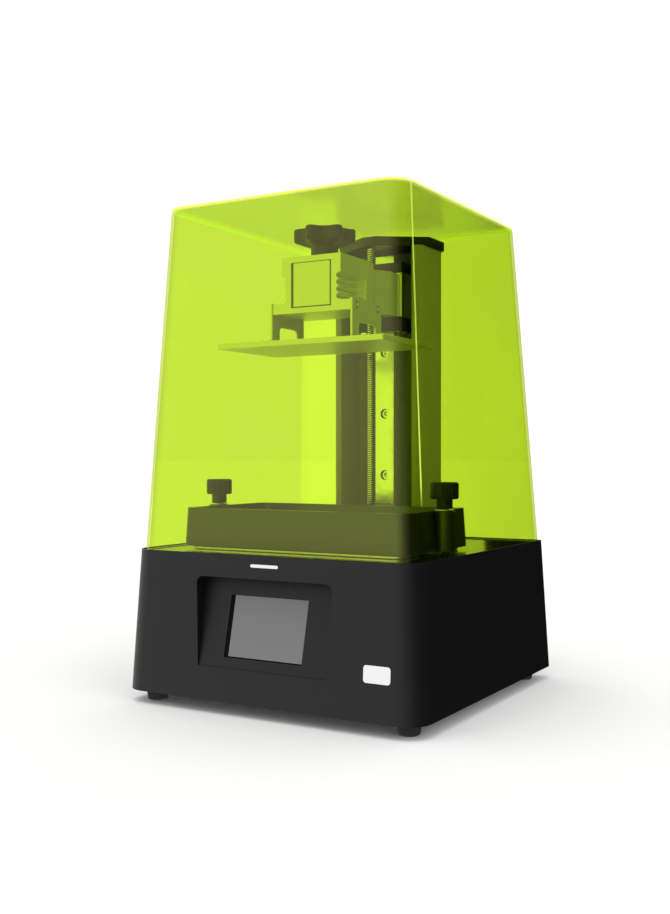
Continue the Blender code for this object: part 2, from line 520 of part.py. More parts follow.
def build_rail(shell):
    back = COLUMN_INSIDE_BACK - GAP
    waist = RAIL_HALF - 0.002
    outline = [(RAIL_HALF, RAIL_FRONT), (RAIL_HALF, RAIL_FRONT + 0.004), (waist, RAIL_FRONT + 0.006),
               (waist, RAIL_FRONT + 0.008), (RAIL_HALF, RAIL_FRONT + 0.010), (RAIL_HALF, back)]
    outline += [(-x, y) for x, y in reversed(outline)]
    rail = part("linear_rail", prism(outline, RAIL_BOTTOM, RAIL_TOP), STEEL, parent=shell)
    for number in range(RAIL_HOLES):
        centre = (0, 0, RAIL_HOLE_FIRST + number * RAIL_HOLE_PITCH)
        cut(
            rail,
            turned([(0.0048, RAIL_FRONT - 0.005), (0.0048, RAIL_FRONT + 0.0085)], 20, "Y", centre),
            turned([(0.0030, RAIL_FRONT), (0.0030, back + 0.005)], 12, "Y", centre),
        )
        profile = [(0.0041, RAIL_FRONT + 0.0025), (0.0041, RAIL_FRONT + 0.0080),
                   (0.0025, RAIL_FRONT + 0.0082), (0.0025, back - 0.001)]
        screw = part(f"rail_screw_{number + 1}", turned(profile, 16, "Y", centre), STEEL, parent=rail)
        cut(screw, turned([(0.0023, RAIL_FRONT), (0.0023, RAIL_FRONT + 0.005)], 6, "Y", centre))


def saddle(low, high, half, front, rear):
    """A block over the rail, open to the rear."""
    slot, slot_front = RAIL_HALF + 0.0005, RAIL_FRONT - 0.0005
    outline = [(half, front), (half, rear), (slot, rear), (slot, slot_front),
               (-slot, slot_front), (-slot, rear), (-half, rear), (-half, front)]
    return prism(outline, low, high)


def build_carriage():
    low, steel_low, steel_high, high = CARRIAGE_CAPS
    carriage = part("rail_carriage", saddle(
        steel_low + GAP, steel_high - GAP, CARRIAGE_HALF, CARRIAGE_FRONT, CARRIAGE_REAR),
        STEEL, origin=(0, CARRIAGE_FRONT, steel_low))
    for name, bottom, top in (
        ("carriage_cap_lower", low, steel_low), ("carriage_cap_upper", steel_high, high),
    ):
        body = saddle(bottom, top, CARRIAGE_HALF - 0.0006, CARRIAGE_FRONT + 0.0012, CARRIAGE_REAR - 0.001)
        part(name, body, BLACK_PLASTIC, parent=carriage)
    axis, top, bore = (0, SCREW_Y, 0), ARM_BOTTOM - GAP, SCREW_RADIUS + 0.0004
    profile = [(NUT_FLANGE, top - 0.0035), (NUT_FLANGE, top), (NUT_RADIUS, top + 0.0001),
               (NUT_RADIUS, top + 0.0115)]
    nut = part("lead_nut", turned(profile, 24, centre=axis), BRASS, parent=carriage)
    cut(nut, turned([(bore, top - 0.010), (bore, top + 0.020)], 20, centre=axis))
    depth, flag_top = (0.064, 0.072), steel_low + 0.010
    flag = part("endstop_flag", box((FLAG_X - 0.0005, FLAG_X + 0.0005), depth, (0.322, flag_top)),
                STEEL, parent=carriage)
    join(flag, box((FLAG_X, -CARRIAGE_HALF - GAP), depth, (flag_top - 0.006, flag_top)))
    return carriage


def build_endstop(shell):
    body = box((-COLUMN_INSIDE_HALF + 0.0004, -0.0240), (0.062, 0.075), (0.1393, 0.155))
    sensor = part("endstop_sensor", body, BLACK_PLASTIC, parent=shell)
    cut(sensor, box((FLAG_X - 0.0024, FLAG_X + 0.0024), (0.055, 0.080), (0.1450, 0.165)))


def build_arm(carriage):
    """The arm from the carriage forward, with the tongue that the platform's clamp slides over."""
    right = [(0.0295, -0.0105), (0.0295, -0.0045), (0.015, 0.020), (0.015, 0.026), (0.0225, 0.041),
             (0.0225, CARRIAGE_FRONT - GAP)]
    outline = right + [(-x, y) for x, y in reversed(right)]
    arm = part("z_arm", prism(outline, ARM_BOTTOM, ARM_TOP), ALUMINIUM, parent=carriage)
    tongue_front = CLAMP_FRONT + 0.0008
    join(arm, box((-TONGUE_HALF, TONGUE_HALF), (tongue_front, 0.0), (TONGUE_BOTTOM, TONGUE_TOP)))
    bore = NUT_RADIUS + GAP
    cut(arm, turned([(bore, ARM_BOTTOM - 0.010), (bore, ARM_TOP + 0.010)], 20, centre=(0, SCREW_Y, 0)))


# ---- Build platform -----------------------------------------------------------------------------
def grip_cutter(side):
    """Finger grooves along the side of the clamp: four scallops one above the other."""
    low, high, grooves = 0.3475, 0.371, 4
    pitch = (high - low) / grooves
    edge, outside = side * (CLAMP_HALF - 0.0018), side * (CLAMP_HALF + 0.010)
    outline = [(outside, low), (outside, high)]
    for number in range(grooves):
        centre = (edge, high - pitch * (number + 0.5))
        start, end = (90, 270) if side > 0 else (90, -90)
        outline += [(edge + (x - edge) * 0.95, z) for x, z in arc(centre, pitch / 2 - 0.0002, start, end, 5)]
    return prism(outline, CLAMP_FRONT - 0.010, -0.019, "Y")


def build_clamp(carriage):
    along, axis = (CLAMP_FRONT, CLAMP_REAR), (0, KNOB_Y, 0)
    clamp = part("platform_clamp", box((-CLAMP_HALF, CLAMP_HALF), along, (CLAMP_BOTTOM, CLAMP_TOP)),
                 ALUMINIUM, origin=(0, CLAMP_REAR, CLAMP_BOTTOM), parent=carriage)
    join(clamp, box((-FLANGE_HALF, FLANGE_HALF), along, (CLAMP_BOTTOM, FLANGE_TOP)))
    roof, recess, stud = TONGUE_TOP + GAP, PAD_RADIUS + 0.0005, STUD_RADIUS + GAP
    cut(
        clamp,
        box((-SLEEVE_HALF, SLEEVE_HALF), (CLAMP_FRONT - 0.015, CLAMP_REAR + 0.015), (SLEEVE_BOTTOM, roof)),
        turned([(recess, roof - 0.005), (recess, PAD_TOP + PAD_TRAVEL + GAP)], 20, centre=axis),
        turned([(stud, roof - 0.005), (stud, CLAMP_TOP + 0.010)], 16, centre=axis),
        grip_cutter(1),
        grip_cutter(-1),
    )
    return clamp


def knob_ring(z, radius=None, inset=0.0):
    """A ring round the clamp screw: a circle of the given radius, or the knob's lobed outline, inset."""
    step = math.pi / KNOB_LOBES
    side, reach = LOBE_REACH * math.sin(step), LOBE_REACH * math.cos(step)
    # A circle that bulges in between two lobes touches both and reaches NOTCH_BOTTOM from the axis.
    dip = NOTCH_BOTTOM - reach
    notch = (side**2 + dip**2 - LOBE_RADIUS**2) / (2 * (LOBE_RADIUS - dip))
    notch_x = NOTCH_BOTTOM + notch
    touch = math.degrees(math.atan2(side, notch_x - reach))
    spread = touch + math.degrees(step)
    lobe = arc((LOBE_REACH, 0), LOBE_RADIUS - inset, -spread, spread, 6)
    half = arc((notch_x, 0), notch + inset, 180 - touch, 180 + touch, 4)[1:-1]
    points = []
    for number in range(KNOB_LOBES):
        turn = Matrix.Rotation(math.radians(KNOB_TURN) + 2 * step * number, 2)
        points += [turn @ Vector(point) for point in lobe]
        turn = Matrix.Rotation(math.radians(KNOB_TURN) + step * (2 * number + 1), 2)
        points += [turn @ Vector(point) for point in reversed(half)]
    if radius:
        points = [radius * point.normalized() for point in points]
    return at_height([(x, KNOB_Y + y) for x, y in points], z)


def build_clamp_screw(clamp):
    """The pad that presses on the tongue, and above it the lobed knob with its stud."""
    pad_bottom = TONGUE_TOP + GAP
    body = turned([(PAD_RADIUS, pad_bottom), (PAD_RADIUS, PAD_TOP)], 20, centre=(0, KNOB_Y, 0))
    pad = part("clamp_pad", body, BRASS, origin=(0, KNOB_Y, pad_bottom), parent=clamp)
    hub_bottom, rim_low = CLAMP_TOP + GAP, KNOB_TOP - KNOB_RIM
    rings = [
        knob_ring(z, radius=radius) for radius, z in (
            (STUD_RADIUS, PAD_TOP + GAP), (STUD_RADIUS, hub_bottom),
            (KNOB_HUB, hub_bottom + 0.0001), (KNOB_HUB, rim_low - 0.0044))
    ] + [
        knob_ring(z, inset=inset) for inset, z in (
            (0.0014, rim_low - 0.0001), (0, rim_low + 0.0014), (0, KNOB_TOP - 0.0020),
            (0.0006, KNOB_TOP - 0.0006), (0.0020, KNOB_TOP))
    ] + [knob_ring(KNOB_TOP - 0.0016, radius=0.0125)]
    part("clamp_knob", body_from_rings(rings), BLACK_PLASTIC, origin=(0, KNOB_Y, CLAMP_TOP), parent=pad)


def build_bracket(name, side, clamp):
    """A bent sheet leg: an upright plate on the clamp's flange and a foot on the platform."""
    inner, outer = FLANGE_HALF + GAP, FLANGE_HALF + GAP + BRACKET_SHEET
    foot_low = PLATFORM_BOTTOM + PLATFORM_THICKNESS + GAP
    foot_high = foot_low + BRACKET_SHEET
    section = [(inner, foot_low), (inner + BRACKET_FOOT, foot_low), (inner + BRACKET_FOOT, foot_high),
               (outer, foot_high), (outer, BRACKET_TOP), (inner, BRACKET_TOP)]
    outline = [(side * x, z) for x, z in section]
    bracket = part(name, prism(outline, BRACKET_FRONT, BRACKET_REAR, "Y"), ALUMINIUM, parent=clamp)
    level, below = ARCH_TOP - ARCH_CORNER, PLATFORM_BOTTOM
    arch = ([(ARCH_FRONT, below)] + arc((ARCH_FRONT + ARCH_CORNER, level), ARCH_CORNER, 180, 90, 4)
            + arc((ARCH_REAR - ARCH_CORNER, level), ARCH_CORNER, 90, 0, 4) + [(ARCH_REAR, below)])
    cut(bracket, prism(arch, side * 0.030, side * 0.065, "X"))
    for y in LEVELLING_Y:
        centre = (side * (outer + LEVELLING_IN), y, 0)
        cut(bracket, turned([(0.0023, foot_low - 0.005), (0.0023, foot_high + 0.005)], 12, centre=centre))


def build_platform(clamp):
    half_x, half_y = PLATFORM_SIZE[0] / 2, PLATFORM_SIZE[1] / 2
    top = PLATFORM_BOTTOM + PLATFORM_THICKNESS
    outline = rounded_outline(half_x, half_y, 0.002, 2, (0, BUILD_Y))
    plate = part("build_platform", prism(outline, PLATFORM_BOTTOM, top), ALUMINIUM, parent=clamp)
    screw_x = FLANGE_HALF + GAP + BRACKET_SHEET + LEVELLING_IN
    foot_top = top + GAP + BRACKET_SHEET
    for side, name_x in ((-1, "left"), (1, "right")):
        for y, name_y in zip(LEVELLING_Y, ("front", "rear")):
            centre = (side * screw_x, y, 0)
            cut(plate, turned([(0.0022, top - 0.0035), (0.0022, top + 0.005)], 12, centre=centre))
            profile = [(0.0018, top - 0.003), (0.0018, foot_top + 0.0002), (0.0037, foot_top + GAP),
                       (0.0037, foot_top + 0.0014), (0.0026, foot_top + 0.0026)]
            screw = part(f"levelling_screw_{name_y}_{name_x}", turned(profile, 16, centre=centre),
                         STEEL, parent=clamp)
            cut(screw, turned([(0.0013, foot_top + 0.0012), (0.0013, foot_top + 0.005)], 6, centre=centre))


# ---- Vat ----------------------------------------------------------------------------------------
def vat_ring(half, z, radius=VAT_CORNER):
    return at_height(rounded_outline(*half, radius, 5, (0, BUILD_Y)), z)


def build_vat():
    frame_low, frame_top = DECK_TOP + GAP, VAT_BOTTOM - 0.0003 - GAP - FILM_THICKNESS
    vat = part("vat_body", body_from_rings([
        vat_ring(VAT_HALF_BOTTOM, VAT_BOTTOM), vat_ring(VAT_HALF_TOP, VAT_TOP),
        vat_ring(VAT_WELL_TOP, VAT_TOP, WELL_CORNER), vat_ring(VAT_WELL_BOTTOM, VAT_BOTTOM, WELL_CORNER),
    ], closed=True), DARK_ALUMINIUM, origin=(0, BUILD_Y, VAT_BOTTOM))
    ears = [(-THUMB_X, BUILD_Y, 0), (THUMB_X, BUILD_Y, 0)]
    join(vat, *(turned([(0.0095, VAT_BOTTOM), (0.0095, VAT_TOP)], 24, centre=ear) for ear in ears))
    cut(vat, *(turned([(0.0034, VAT_BOTTOM - 0.005), (0.0034, VAT_TOP + 0.005)], 16, centre=ear)
               for ear in ears))
    part("film_frame", body_from_rings([
        vat_ring(FILM_FRAME_HALF, frame_low), vat_ring(FILM_FRAME_HALF, frame_top),
        vat_ring(VAT_WELL_BOTTOM, frame_top, WELL_CORNER), vat_ring(VAT_WELL_BOTTOM, frame_low, WELL_CORNER),
    ], closed=True), STEEL, parent=vat)
    film_low = frame_top + GAP
    film = [vat_ring(FILM_FRAME_HALF, z) for z in (film_low, film_low + FILM_THICKNESS)]
    part("release_film", body_from_rings(film), CLEAR_FILM, parent=vat)
    for ear, name in zip(ears, ("left", "right")):
        build_thumb_screw(ear, name, vat)


def build_thumb_screw(axis, name, vat):
    """A washer on the vat's ear and a knurled thumb screw that reaches through both into the deck."""
    washer_low = VAT_TOP + GAP
    neck_low, origin = washer_low + 0.001 + GAP, (axis[0], axis[1], washer_low)
    ring = ring_solid(0.0082, 0.0034, washer_low, washer_low + 0.001, 20, axis)
    washer = part(f"thumb_washer_{name}", ring, STEEL, origin=origin, parent=vat)
    shank, neck, low = 0.0028, 0.0069, THUMB_HEAD_BOTTOM
    profile = [(shank - 0.0008, 0.1195), (shank, 0.1205), (shank, neck_low), (neck, neck_low + 0.0001),
               (neck, low), (THUMB_RADIUS - 0.0008, low + 0.0001), (THUMB_RADIUS, low + 0.0012),
               (THUMB_RADIUS, THUMB_HEAD_TOP - 0.0014), (THUMB_RADIUS - 0.0012, THUMB_HEAD_TOP)]
    head = part(f"thumb_screw_{name}", turned(profile, 20, centre=axis), BLACK_PLASTIC,
                origin=origin, parent=washer)
    for number in range(THUMB_GRIPS):
        angle, reach, groove = 2 * math.pi * number / THUMB_GRIPS, THUMB_RADIUS + 0.0008, 0.0017
        centre = (axis[0] + reach * math.cos(angle), axis[1] + reach * math.sin(angle), 0)
        cut(head, turned([(groove, low - 0.003), (groove, THUMB_HEAD_TOP + 0.004)], 8, centre=centre))


# ---- Cover --------------------------------------------------------------------------------------
def cover_ring(z, inward, inset=0.0):
    """The cover's outline at a height, moved in from its nominal outside."""
    bottom = DECK_TOP + GAP
    share = (z - bottom) / (HEIGHT - bottom)
    half = COVER_HALF_BOTTOM + (COVER_HALF_TOP - COVER_HALF_BOTTOM) * share - inward
    return [Vector((x, y - COVER_FORWARD * share, height)) for x, y, height in square_ring(half, z, inset)]


def build_cover():
    bottom, edge = DECK_TOP + GAP, 0.0022
    inside_top = HEIGHT - COVER_WALL
    rings = [
        cover_ring(inside_top, COVER_WALL, COVER_WALL),
        cover_ring(bottom, COVER_WALL, COVER_WALL),
        cover_ring(bottom, GAP),
        cover_ring(HEIGHT - edge, GAP),
        cover_ring(HEIGHT - 0.0007, GAP + 0.0007),
        cover_ring(HEIGHT, GAP + edge, 0.001),
    ]
    part("cover", body_from_rings(rings), COVER_PLASTIC, origin=(0, 0, bottom))


# ---- Assembly -----------------------------------------------------------------------------------
def build_printer():
    shell = build_base_shell()
    build_touch_screen(shell)
    build_feet_and_bottom(shell)
    build_deck(shell)
    build_light_engine(shell)
    build_mainboard(shell)
    build_rear_sockets(shell)
    build_fan(shell)
    build_motor(shell)
    build_lead_screw(shell)
    build_column(shell)
    build_rail(shell)
    build_endstop(shell)
    carriage = build_carriage()
    build_arm(carriage)
    clamp = build_clamp(carriage)
    build_clamp_screw(clamp)
    build_bracket("bracket_left", -1, clamp)
    build_bracket("bracket_right", 1, clamp)
    build_platform(clamp)
    build_vat()
    build_cover()


build_printer()
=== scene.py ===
"""The looks of the desktop resin printer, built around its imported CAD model.

Metres, +Z up, front towards -Y. Most CAD nodes stay and get softened edges and a procedural
material. The cover, the lead screw, the build platform and the touch screen are replaced by finer
meshes, and small fasteners and blank printed marks are added.
"""

import math

import bmesh
import bpy
from mathutils import Matrix, Vector


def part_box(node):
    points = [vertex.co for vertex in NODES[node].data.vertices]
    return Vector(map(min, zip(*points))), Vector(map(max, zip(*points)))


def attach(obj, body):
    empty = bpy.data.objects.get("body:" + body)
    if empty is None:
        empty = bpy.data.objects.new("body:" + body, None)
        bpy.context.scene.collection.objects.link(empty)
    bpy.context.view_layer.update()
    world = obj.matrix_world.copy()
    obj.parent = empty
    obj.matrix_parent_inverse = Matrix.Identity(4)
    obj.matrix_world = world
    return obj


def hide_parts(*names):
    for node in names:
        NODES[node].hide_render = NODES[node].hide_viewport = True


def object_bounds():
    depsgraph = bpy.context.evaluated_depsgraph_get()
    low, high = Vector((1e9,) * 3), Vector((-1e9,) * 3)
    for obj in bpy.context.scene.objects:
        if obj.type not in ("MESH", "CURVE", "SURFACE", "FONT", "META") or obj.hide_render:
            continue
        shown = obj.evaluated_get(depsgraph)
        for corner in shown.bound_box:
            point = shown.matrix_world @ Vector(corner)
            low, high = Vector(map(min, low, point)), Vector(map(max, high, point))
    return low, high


bpy.ops.wm.read_factory_settings(use_empty=True)
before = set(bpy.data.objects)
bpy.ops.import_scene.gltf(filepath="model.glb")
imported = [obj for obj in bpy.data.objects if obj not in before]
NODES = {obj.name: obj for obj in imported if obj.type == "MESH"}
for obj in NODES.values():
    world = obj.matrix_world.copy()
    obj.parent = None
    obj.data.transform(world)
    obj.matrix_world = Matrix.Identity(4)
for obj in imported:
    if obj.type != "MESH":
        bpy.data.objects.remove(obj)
cad_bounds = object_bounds()
SCENE = bpy.context.scene

# ---- Driving dimensions -------------------------------------------------------------------------
COVER_TOP_HALF, COVER_WALL = 0.1182, 0.0025
COVER_EDGE, COVER_FOOT = 0.0022, 0.0004  # the rounding at its top, the chamfer at its foot
COVER_FORWARD = 0.004  # the cover's top stands this far forward of the middle
FRONT_CORNER, REAR_CORNER = 0.021, 0.008  # radii of the cover's upright corners
PAINTED_GLINT_TURNS = (10, 15)  # degrees from the sides: a painted glint, emitting faces that stand in for a line of light caught up each front corner of the cover
PAINTED_GLINT_SHARES = ((0.175, 0.0), (0.193, 0.62), (0.330, 0.36))  # its heights, and how much of the painted glint glows there
BASE_HALF_LOW, BASE_HALF_HIGH = 0.145, 0.13896  # the base leans in towards its top
# Widths, at the left and below, of a black strip of painted shade on the screen glass, for its window's
# shaded recess.
SCREEN_SHADE_LEFT, SCREEN_SHADE_LOW = 0.0038, 0.0007
NAME_MARK_X, NAME_MARK_DROP = 0.0015, 0.0084  # the drop is from the base's top edge
NAME_MARK_SIZE, NAME_MARK_CORNER = (0.027, 0.0026), 0.0013
BADGE_X, BADGE_RISE = 0.1077, 0.0370  # the rise is from the base's lower edge
BADGE_SIZE, BADGE_CORNER = (0.0235, 0.0135), 0.0025
PRINT_DEPTHS = (0.0001, -0.00012)  # from just inside the base's face to the print's own face
THREAD_PITCH, THREAD_STARTS, THREAD_DEPTH = 0.002, 2, 0.0009
PIT_PITCH, PIT_RADIUS, PIT_DEPTH, PIT_MARGIN = 0.003, 0.0010, 0.0006, 0.005  # under the platform
PLATFORM_CORNER, PLATFORM_EDGE = 0.002, 0.0005
BRACKET_SHEET, FAN_SCREW_SPACING = 0.002, 0.050

CAMERA_PLACE = (0.49957, -0.86739, 0.21560)
CAMERA_AZIMUTH, CAMERA_DIP = 30.193, 0.594  # degrees
CAMERA_LENS, SENSOR = 42.69, 36.0  # millimetres, the sensor along the picture's height
CAMERA_SHIFT = (-0.0090, 0.0100)


# ---- Material tools -----------------------------------------------------------------------------
class Shading:
    """One material and short calls that add nodes to it."""

    def __init__(self, name):
        self.material = bpy.data.materials.new(name)
        self.material.use_nodes = True
        self.tree = self.material.node_tree
        self.tree.nodes.clear()
        self.output = self.tree.nodes.new("ShaderNodeOutputMaterial")

    def add(self, kind, inputs, **settings):
        """A node; an input is a plain value, or a socket to link."""
        node = self.tree.nodes.new("ShaderNode" + kind)
        for key, value in settings.items():
            setattr(node, key, value)
        for key, value in inputs.items():
            if isinstance(value, bpy.types.NodeSocket):
                self.tree.links.new(value, node.inputs[key])
            else:
                node.inputs[key].default_value = value
        return node

    def place(self, stretch=(1, 1, 1)):
        """The point on the object in metres, stretched so that a pattern runs along an axis."""
        where = self.add("TexCoord", {}).outputs["Object"]
        return self.add("Mapping", {"Vector": where, "Scale": stretch}).outputs["Vector"]

    def noise(self, scale, detail=2.0, stretch=(1, 1, 1), roughness=0.5):
        return self.add("TexNoise", {
            "Vector": self.place(stretch), "Scale": scale, "Detail": detail, "Roughness": roughness,
        }).outputs["Fac"]

    def between(self, value, low, high, start=0.0, end=1.0):
        """Low to high as value goes from start to end."""
        return self.add("MapRange", {
            "Value": value, "From Min": start, "From Max": end, "To Min": low, "To Max": high,
        }).outputs["Result"]

    def blend(self, share, first, second):
        """A colour between two, by share."""
        mixed = self.add("Mix", {}, data_type="RGBA")
        for index, value in ((0, share), (6, first), (7, second)):
            if isinstance(value, bpy.types.NodeSocket):
                self.tree.links.new(value, mixed.inputs[index])
            else:
                mixed.inputs[index].default_value = (*value, 1) if index else value
        return mixed.outputs[2]

    def bump(self, height, strength, distance):
        inputs = {"Height": height, "Strength": strength, "Distance": distance}
        return self.add("Bump", inputs).outputs["Normal"]

    def finish(self, shader):
        self.tree.links.new(shader, self.output.inputs["Surface"])
        return self.material


def scaled(colour, factor):
    return tuple(min(1.0, channel * factor) for channel in colour)


def solid_finish(name, colour, roughness, metallic=0.0, grain=1500, grain_height=0.00003,
                 stretch=(1, 1, 1), spread=0.12, wear=0.0, rough_spread=0.06, specular=0.5, blotch=30):
    """A plain material: cloudy colour, uneven gloss, a fine grain and, where asked, lighter worn edges."""
    shading = Shading(name)
    cloud = shading.noise(blotch, 3.0)
    fine = shading.noise(grain, 3.0, stretch)
    tone = shading.blend(cloud, scaled(colour, 1 - spread), scaled(colour, 1 + spread))
    speckle = shading.between(fine, 0.0, 0.35, 0.35, 0.75)
    tone = shading.blend(speckle, tone, scaled(colour, 1 + 2 * spread))
    if wear:
        pointed = shading.add("NewGeometry", {}).outputs["Pointiness"]
        worn = shading.between(pointed, 0.0, wear, 0.52, 0.60)
        tone = shading.blend(worn, tone, scaled(colour, 2.2))
    rough = shading.between(
        shading.noise(blotch * 4, 2.0), roughness - rough_spread, roughness + rough_spread, 0.3, 0.7)
    surface = shading.add("BsdfPrincipled", {
        "Base Color": tone, "Roughness": rough, "Metallic": metallic, "Specular IOR Level": specular,
        "Normal": shading.bump(fine, 0.5, grain_height),
    })
    return shading.finish(surface.outputs["BSDF"])


ALONG_Z, ALONG_X = (1, 1, 0.02), (0.02, 1, 1)  # stretches that draw the grain out along an axis

FINISHES = {
    "dark_painted_steel": solid_finish(
        "fine satin powder coat", (0.0038, 0.0038, 0.0040), 0.46, grain=1400, grain_height=0.00005,
        spread=0.06, wear=0.25, rough_spread=0.02, specular=0.32),
    "black_plastic": solid_finish(
        "satin moulded black plastic", (0.006, 0.006, 0.0065), 0.38, grain=2200, spread=0.10,
        wear=0.15, specular=0.40),
    "sandblasted_aluminium": solid_finish(
        "fine sandblasted aluminium", (0.75, 0.76, 0.77), 0.42, 0.80, grain=3000,
        grain_height=0.00003, spread=0.03, rough_spread=0.04),
    "dark_anodised_aluminium": solid_finish(
        "dark anodised aluminium", (0.008, 0.008, 0.0085), 0.40, 0.0, grain=2600,
        grain_height=0.000005, spread=0.05, wear=0.30, specular=0.5),
    "bright_steel": solid_finish(
        "ground bright steel", (0.96, 0.96, 0.96), 0.14, 1.0, grain=2400, grain_height=0.00001,
        stretch=ALONG_Z, spread=0.04),
    "brass": solid_finish(
        "turned brass", (0.72, 0.50, 0.18), 0.28, 1.0, grain=2400, stretch=ALONG_X, spread=0.06),
    "black_rubber": solid_finish(
        "matt black rubber", (0.014, 0.014, 0.014), 0.82, grain=900, grain_height=0.0001,
        spread=0.15, specular=0.25),
    "white_board": solid_finish(
        "white solder mask", (0.72, 0.73, 0.72), 0.35, grain=1800, spread=0.03),
}
COLUMN_FINISH = solid_finish(
    "satin grey anodised aluminium", (0.165, 0.165, 0.17), 0.42, 0.0, grain=2600, grain_height=0.00001,
    stretch=ALONG_Z, spread=0.05, wear=0.3, specular=0.35)
DECK_FINISH = solid_finish(
    "smooth dark anodised aluminium", (0.010, 0.010, 0.011), 0.12, 0.0, grain=2600,
    grain_height=0.000001, spread=0.10, rough_spread=0.02, specular=0.8)
VAT_FINISH = solid_finish(
    "satin dark anodised vat", (0.008, 0.008, 0.0085), 0.34, 0.0, grain=2600, grain_height=0.000004,
    spread=0.04, wear=0.20, specular=1.0)
NODE_FINISHES = {"column": COLUMN_FINISH, "base_deck": DECK_FINISH, "vat_body": VAT_FINISH}


def board_finish():
    """Green solder mask with darker and lighter copper tracks under it."""
    shading = Shading("green circuit board")
    where = shading.place()
    tracks = shading.add("TexBrick", {
        "Vector": where, "Scale": 260.0, "Mortar Size": 0.03, "Color1": (0.010, 0.085, 0.030, 1),
        "Color2": (0.014, 0.11, 0.040, 1), "Mortar": (0.035, 0.20, 0.075, 1),
    })
    cloud = shading.noise(60, 2.0)
    rough = shading.between(cloud, 0.28, 0.45, 0.3, 0.7)
    surface = shading.add("BsdfPrincipled", {
        "Base Color": tracks.outputs["Color"], "Roughness": rough,
        "Normal": shading.bump(tracks.outputs["Fac"], 0.4, 0.00003),
    })
    return shading.finish(surface.outputs["BSDF"])


def window_glass(name, node, colour, roughness):
    """Cover glass over a display, with a painted sheen that makes it a little lighter towards its lower edge.
    """
    low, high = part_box(node)
    shading = Shading(name)
    point = shading.add("SeparateXYZ", {"Vector": shading.place()})
    # Painted sheen: the colour is scaled up towards the lower edge and down towards the top.
    lighter = shading.between(point.outputs["Z"], 1.08, 0.94, low.z, high.z)
    glow = shading.add("VectorMath", {0: colour, "Scale": lighter}, operation="SCALE").outputs["Vector"]
    tone = shading.blend(shading.noise(45, 2.0), glow, scaled(colour, 1.03))
    rough = shading.between(shading.noise(300, 3.0), roughness, roughness + 0.05, 0.4, 0.7)
    surface = shading.add("BsdfPrincipled", {
        "Base Color": tone, "Roughness": rough, "Specular IOR Level": 0.35,
        "Normal": shading.bump(shading.noise(18, 1.0), 0.05, 0.0002),
    })
    return shading.finish(surface.outputs["BSDF"])


def reflectance(shading, face_on):
    """How much a clear wall mirrors, the same from its two sides: little face on, all at a graze."""
    facing = shading.add("LayerWeight", {"Blend": 0.5}).outputs["Facing"]
    steep = shading.add("Math", {0: facing, 1: 5.0}, operation="POWER").outputs["Value"]
    return shading.between(steep, face_on, 1.0)


def clear_finish(name, tint, deep_tint, mirror=0.0, mirror_tint=(1, 1, 1), mirror_roughness=0.02):
    """One surface of a clear tinted wall, of the two that light crosses.

    Its mirror share is for both surfaces together.
    """
    shading = Shading(name)
    facing = shading.add("LayerWeight", {"Blend": 0.5}).outputs["Facing"]
    colour = shading.blend(shading.between(facing, 0.0, 1.0, 0.15, 0.75), tint, deep_tint)
    colour = shading.blend(shading.between(shading.noise(9, 2.0), 0.0, 0.08, 0.3, 0.7), colour, deep_tint)
    body = shading.add("BsdfTransparent", {"Color": colour})
    if not mirror:
        return shading.finish(body.outputs["BSDF"])
    ripple = shading.bump(shading.noise(7, 1.0), 0.02, 0.0004)
    gloss = shading.add("BsdfGlossy", {
        "Color": (*mirror_tint, 1), "Roughness": mirror_roughness, "Normal": ripple})
    mixed = shading.add("MixShader", {
        0: reflectance(shading, mirror), 1: body.outputs["BSDF"], 2: gloss.outputs["BSDF"]})
    return shading.finish(mixed.outputs["Shader"])


def painted_glow(name, tint, glow, share, strength):
    """Painted glow on the cut edges of a fluorescent plastic: an emitting share stands in for the light
    caught in the walls that comes out there.

    The share that glows is a number, or three pairs of a height and a share: where it starts, where it
    peaks and where it settles.
    """
    shading = Shading(name)
    if not isinstance(share, float):
        height = shading.add("SeparateXYZ", {"Vector": shading.place()}).outputs["Z"]
        (foot, start), (peak, most), (top, least) = share
        rising = shading.between(height, start, most, foot, peak)
        falling = shading.between(height, 0.0, most - least, peak, top)
        share = shading.add("Math", {0: rising, 1: falling}, operation="SUBTRACT").outputs["Value"]
    body = shading.add("BsdfTransparent", {
        "Color": shading.blend(shading.noise(120, 2.0), tint, scaled(tint, 0.94))})
    lit = shading.add("BsdfPrincipled", {
        "Base Color": shading.blend(shading.noise(90, 2.0), glow, scaled(glow, 0.9)),
        "Roughness": 0.18, "Emission Color": (*glow, 1), "Emission Strength": strength})
    mixed = shading.add("MixShader", {0: share, 1: body.outputs["BSDF"], 2: lit.outputs["BSDF"]})
    return shading.finish(mixed.outputs["Shader"])


FINISHES["circuit_board"] = board_finish()
FINISHES["clear_film"] = clear_finish(
    "clear stretched film", (0.93, 0.94, 0.95), (0.80, 0.84, 0.87), 0.06, mirror_roughness=0.05)
FINISHES["grey_screen_glass"] = window_glass(
    "grey touch screen glass", "touch_screen", (0.142, 0.142, 0.144), 0.22)
# Painted shade: black with almost no reflection, for the shade in the screen window's recess.
SCREEN_PAINTED_SHADE = solid_finish(
    "painted shade in the screen recess", (0.003, 0.003, 0.003), 0.5, grain=1200, spread=0.1, specular=0.03)
LCD_GLASS = window_glass(
    "black display glass", "lcd_panel", (0.008, 0.009, 0.012), 0.10)
